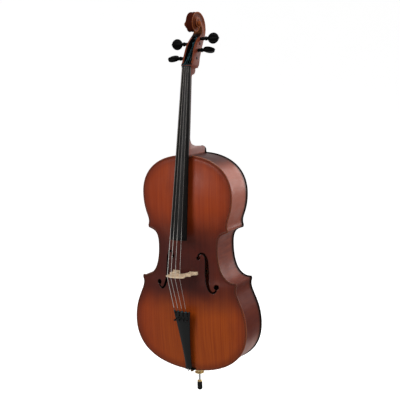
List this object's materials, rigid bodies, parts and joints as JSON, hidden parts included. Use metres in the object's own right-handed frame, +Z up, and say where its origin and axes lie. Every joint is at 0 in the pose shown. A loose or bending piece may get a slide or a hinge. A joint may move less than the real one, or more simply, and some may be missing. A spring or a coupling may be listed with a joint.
{
  "type": "cello",
  "caption": "Full-size bowed string instrument: arched hollow body with f-holes, carved scroll, strung over a bridge to a tailpiece, on a sliding endpin.",
  "frame": {"origin": "centre of the flat bottom of the endpin's rubber tip", "axes": "+Z up the body towards the scroll, -Y out of the top plate (the front), +X to the treble side"},
  "size_m": [0.437, 0.256, 1.3221],
  "materials": {
    "spruce_varnish": "satin red-brown varnish over spruce, darker round the bridge",
    "maple_varnish": "satin dark red-brown varnish over flamed maple",
    "bare_wood": "bare wood inside the body",
    "bridge_maple": "bare pale maple",
    "ebony": "black ebony, satin",
    "black_composite": "black satin composite",
    "black_metal": "black lacquered metal",
    "string_steel": "wound steel",
    "tail_cord": "black cord",
    "gold_plate": "polished gold-coloured plate",
    "steel_rod": "polished steel",
    "rubber": "matte black rubber"
  },
  "bodies": {
    "body": {"back_plate": "maple_varnish", "bass_bar": "bare_wood", "bottom_block": "bare_wood", "bridge": "bridge_maple", "centre_lining_back_bass": "bare_wood", "centre_lining_back_treble": "bare_wood", "centre_lining_front_bass": "bare_wood", "centre_lining_front_treble": "bare_wood", "centre_rib_bass": "maple_varnish", "centre_rib_treble": "maple_varnish", "endpin_collar": "gold_plate", "endpin_plug": "ebony", "fingerboard": "ebony", "lower_corner_block_bass": "bare_wood", "lower_corner_block_treble": "bare_wood", "lower_lining_back_bass": "bare_wood", "lower_lining_back_treble": "bare_wood", "lower_lining_front_bass": "bare_wood", "lower_lining_front_treble": "bare_wood", "lower_rib_bass": "maple_varnish", "lower_rib_treble": "maple_varnish", "neck_and_scroll": "maple_varnish", "nut": "ebony", "saddle": "ebony", "sound_post": "bare_wood", "string_a": "string_steel", "string_c": "string_steel", "string_d": "string_steel", "string_g": "string_steel", "tail_cord": "tail_cord", "tailpiece": "black_composite", "top_block": "bare_wood", "top_plate": "spruce_varnish", "tuner_axle": "black_metal", "upper_corner_block_bass": "bare_wood", "upper_corner_block_treble": "bare_wood", "upper_lining_back_bass": "bare_wood", "upper_lining_back_treble": "bare_wood", "upper_lining_front_bass": "bare_wood", "upper_lining_front_treble": "bare_wood", "upper_rib_bass": "maple_varnish", "upper_rib_treble": "maple_varnish"},
    "peg_c": {"peg_c": "ebony"},
    "tuner_screw_c": {"tuner_screw_c": "black_metal"},
    "tuner_lever_c": {"tuner_lever_c": "black_metal"},
    "peg_g": {"peg_g": "ebony"},
    "tuner_screw_g": {"tuner_screw_g": "black_metal"},
    "tuner_lever_g": {"tuner_lever_g": "black_metal"},
    "peg_d": {"peg_d": "ebony"},
    "tuner_screw_d": {"tuner_screw_d": "black_metal"},
    "tuner_lever_d": {"tuner_lever_d": "black_metal"},
    "peg_a": {"peg_a": "ebony"},
    "tuner_screw_a": {"tuner_screw_a": "black_metal"},
    "tuner_lever_a": {"tuner_lever_a": "black_metal"},
    "thumbscrew": {"endpin_thumbscrew": "gold_plate"},
    "endpin": {"endpin_rod": "steel_rod", "tip_ferrule": "gold_plate", "rubber_tip": "rubber"}
  },
  "joints": [
    {"name": "peg_c_turn", "type": "hinge", "parent": "body", "child": "peg_c", "pos_m": [0, 0, 1.168], "axis": [-1, 0, 0], "continuous": true},
    {"name": "peg_g_turn", "type": "hinge", "parent": "body", "child": "peg_g", "pos_m": [0, 0.0275, 1.216], "axis": [-1, 0, 0], "continuous": true},
    {"name": "peg_d_turn", "type": "hinge", "parent": "body", "child": "peg_d", "pos_m": [0, 0.037, 1.233], "axis": [1, 0, 0], "continuous": true},
    {"name": "peg_a_turn", "type": "hinge", "parent": "body", "child": "peg_a", "pos_m": [0, 0.0115, 1.1945], "axis": [1, 0, 0], "continuous": true},
    {"name": "tuner_screw_c_turn", "type": "hinge", "parent": "body", "child": "tuner_screw_c", "pos_m": [-0.0225, -0.11189, 0.29047], "axis": [0, -0.9832, -0.1823], "range_deg": [0, 1080]},
    {"name": "tuner_lever_c_tilt", "type": "hinge", "parent": "body", "child": "tuner_lever_c", "pos_m": [-0.0225, -0.11518, 0.30817], "axis": [1, 0, 0], "range_deg": [0, 6]},
    {"name": "tuner_screw_g_turn", "type": "hinge", "parent": "body", "child": "tuner_screw_g", "pos_m": [-0.0075, -0.11189, 0.29047], "axis": [0, -0.9832, -0.1823], "range_deg": [0, 1080]},
    {"name": "tuner_lever_g_tilt", "type": "hinge", "parent": "body", "child": "tuner_lever_g", "pos_m": [-0.0075, -0.11518, 0.30817], "axis": [1, 0, 0], "range_deg": [0, 6]},
    {"name": "tuner_screw_d_turn", "type": "hinge", "parent": "body", "child": "tuner_screw_d", "pos_m": [0.0075, -0.11189, 0.29047], "axis": [0, -0.9832, -0.1823], "range_deg": [0, 1080]},
    {"name": "tuner_lever_d_tilt", "type": "hinge", "parent": "body", "child": "tuner_lever_d", "pos_m": [0.0075, -0.11518, 0.30817], "axis": [1, 0, 0], "range_deg": [0, 6]},
    {"name": "tuner_screw_a_turn", "type": "hinge", "parent": "body", "child": "tuner_screw_a", "pos_m": [0.0225, -0.11189, 0.29047], "axis": [0, -0.9832, -0.1823], "range_deg": [0, 1080]},
    {"name": "tuner_lever_a_tilt", "type": "hinge", "parent": "body", "child": "tuner_lever_a", "pos_m": [0.0225, -0.11518, 0.30817], "axis": [1, 0, 0], "range_deg": [0, 6]},
    {"name": "thumbscrew_turn", "type": "hinge", "parent": "body", "child": "thumbscrew", "pos_m": [0, 0, 0.0733], "axis": [-0.848, -0.5299, 0], "range_deg": [0, 720]},
    {"name": "endpin_slide", "type": "slide", "parent": "body", "child": "endpin", "axis": [0, 0, -1], "range_m": [-0.026, 0.36]}
  ],
  "couplings": [
    {"joint": "tuner_lever_c_tilt", "follows": "tuner_screw_c_turn", "ratio": 0.0055556},
    {"joint": "tuner_lever_g_tilt", "follows": "tuner_screw_g_turn", "ratio": 0.0055556},
    {"joint": "tuner_lever_d_tilt", "follows": "tuner_screw_d_turn", "ratio": 0.0055556},
    {"joint": "tuner_lever_a_tilt", "follows": "tuner_screw_a_turn", "ratio": 0.0055556}
  ]
}
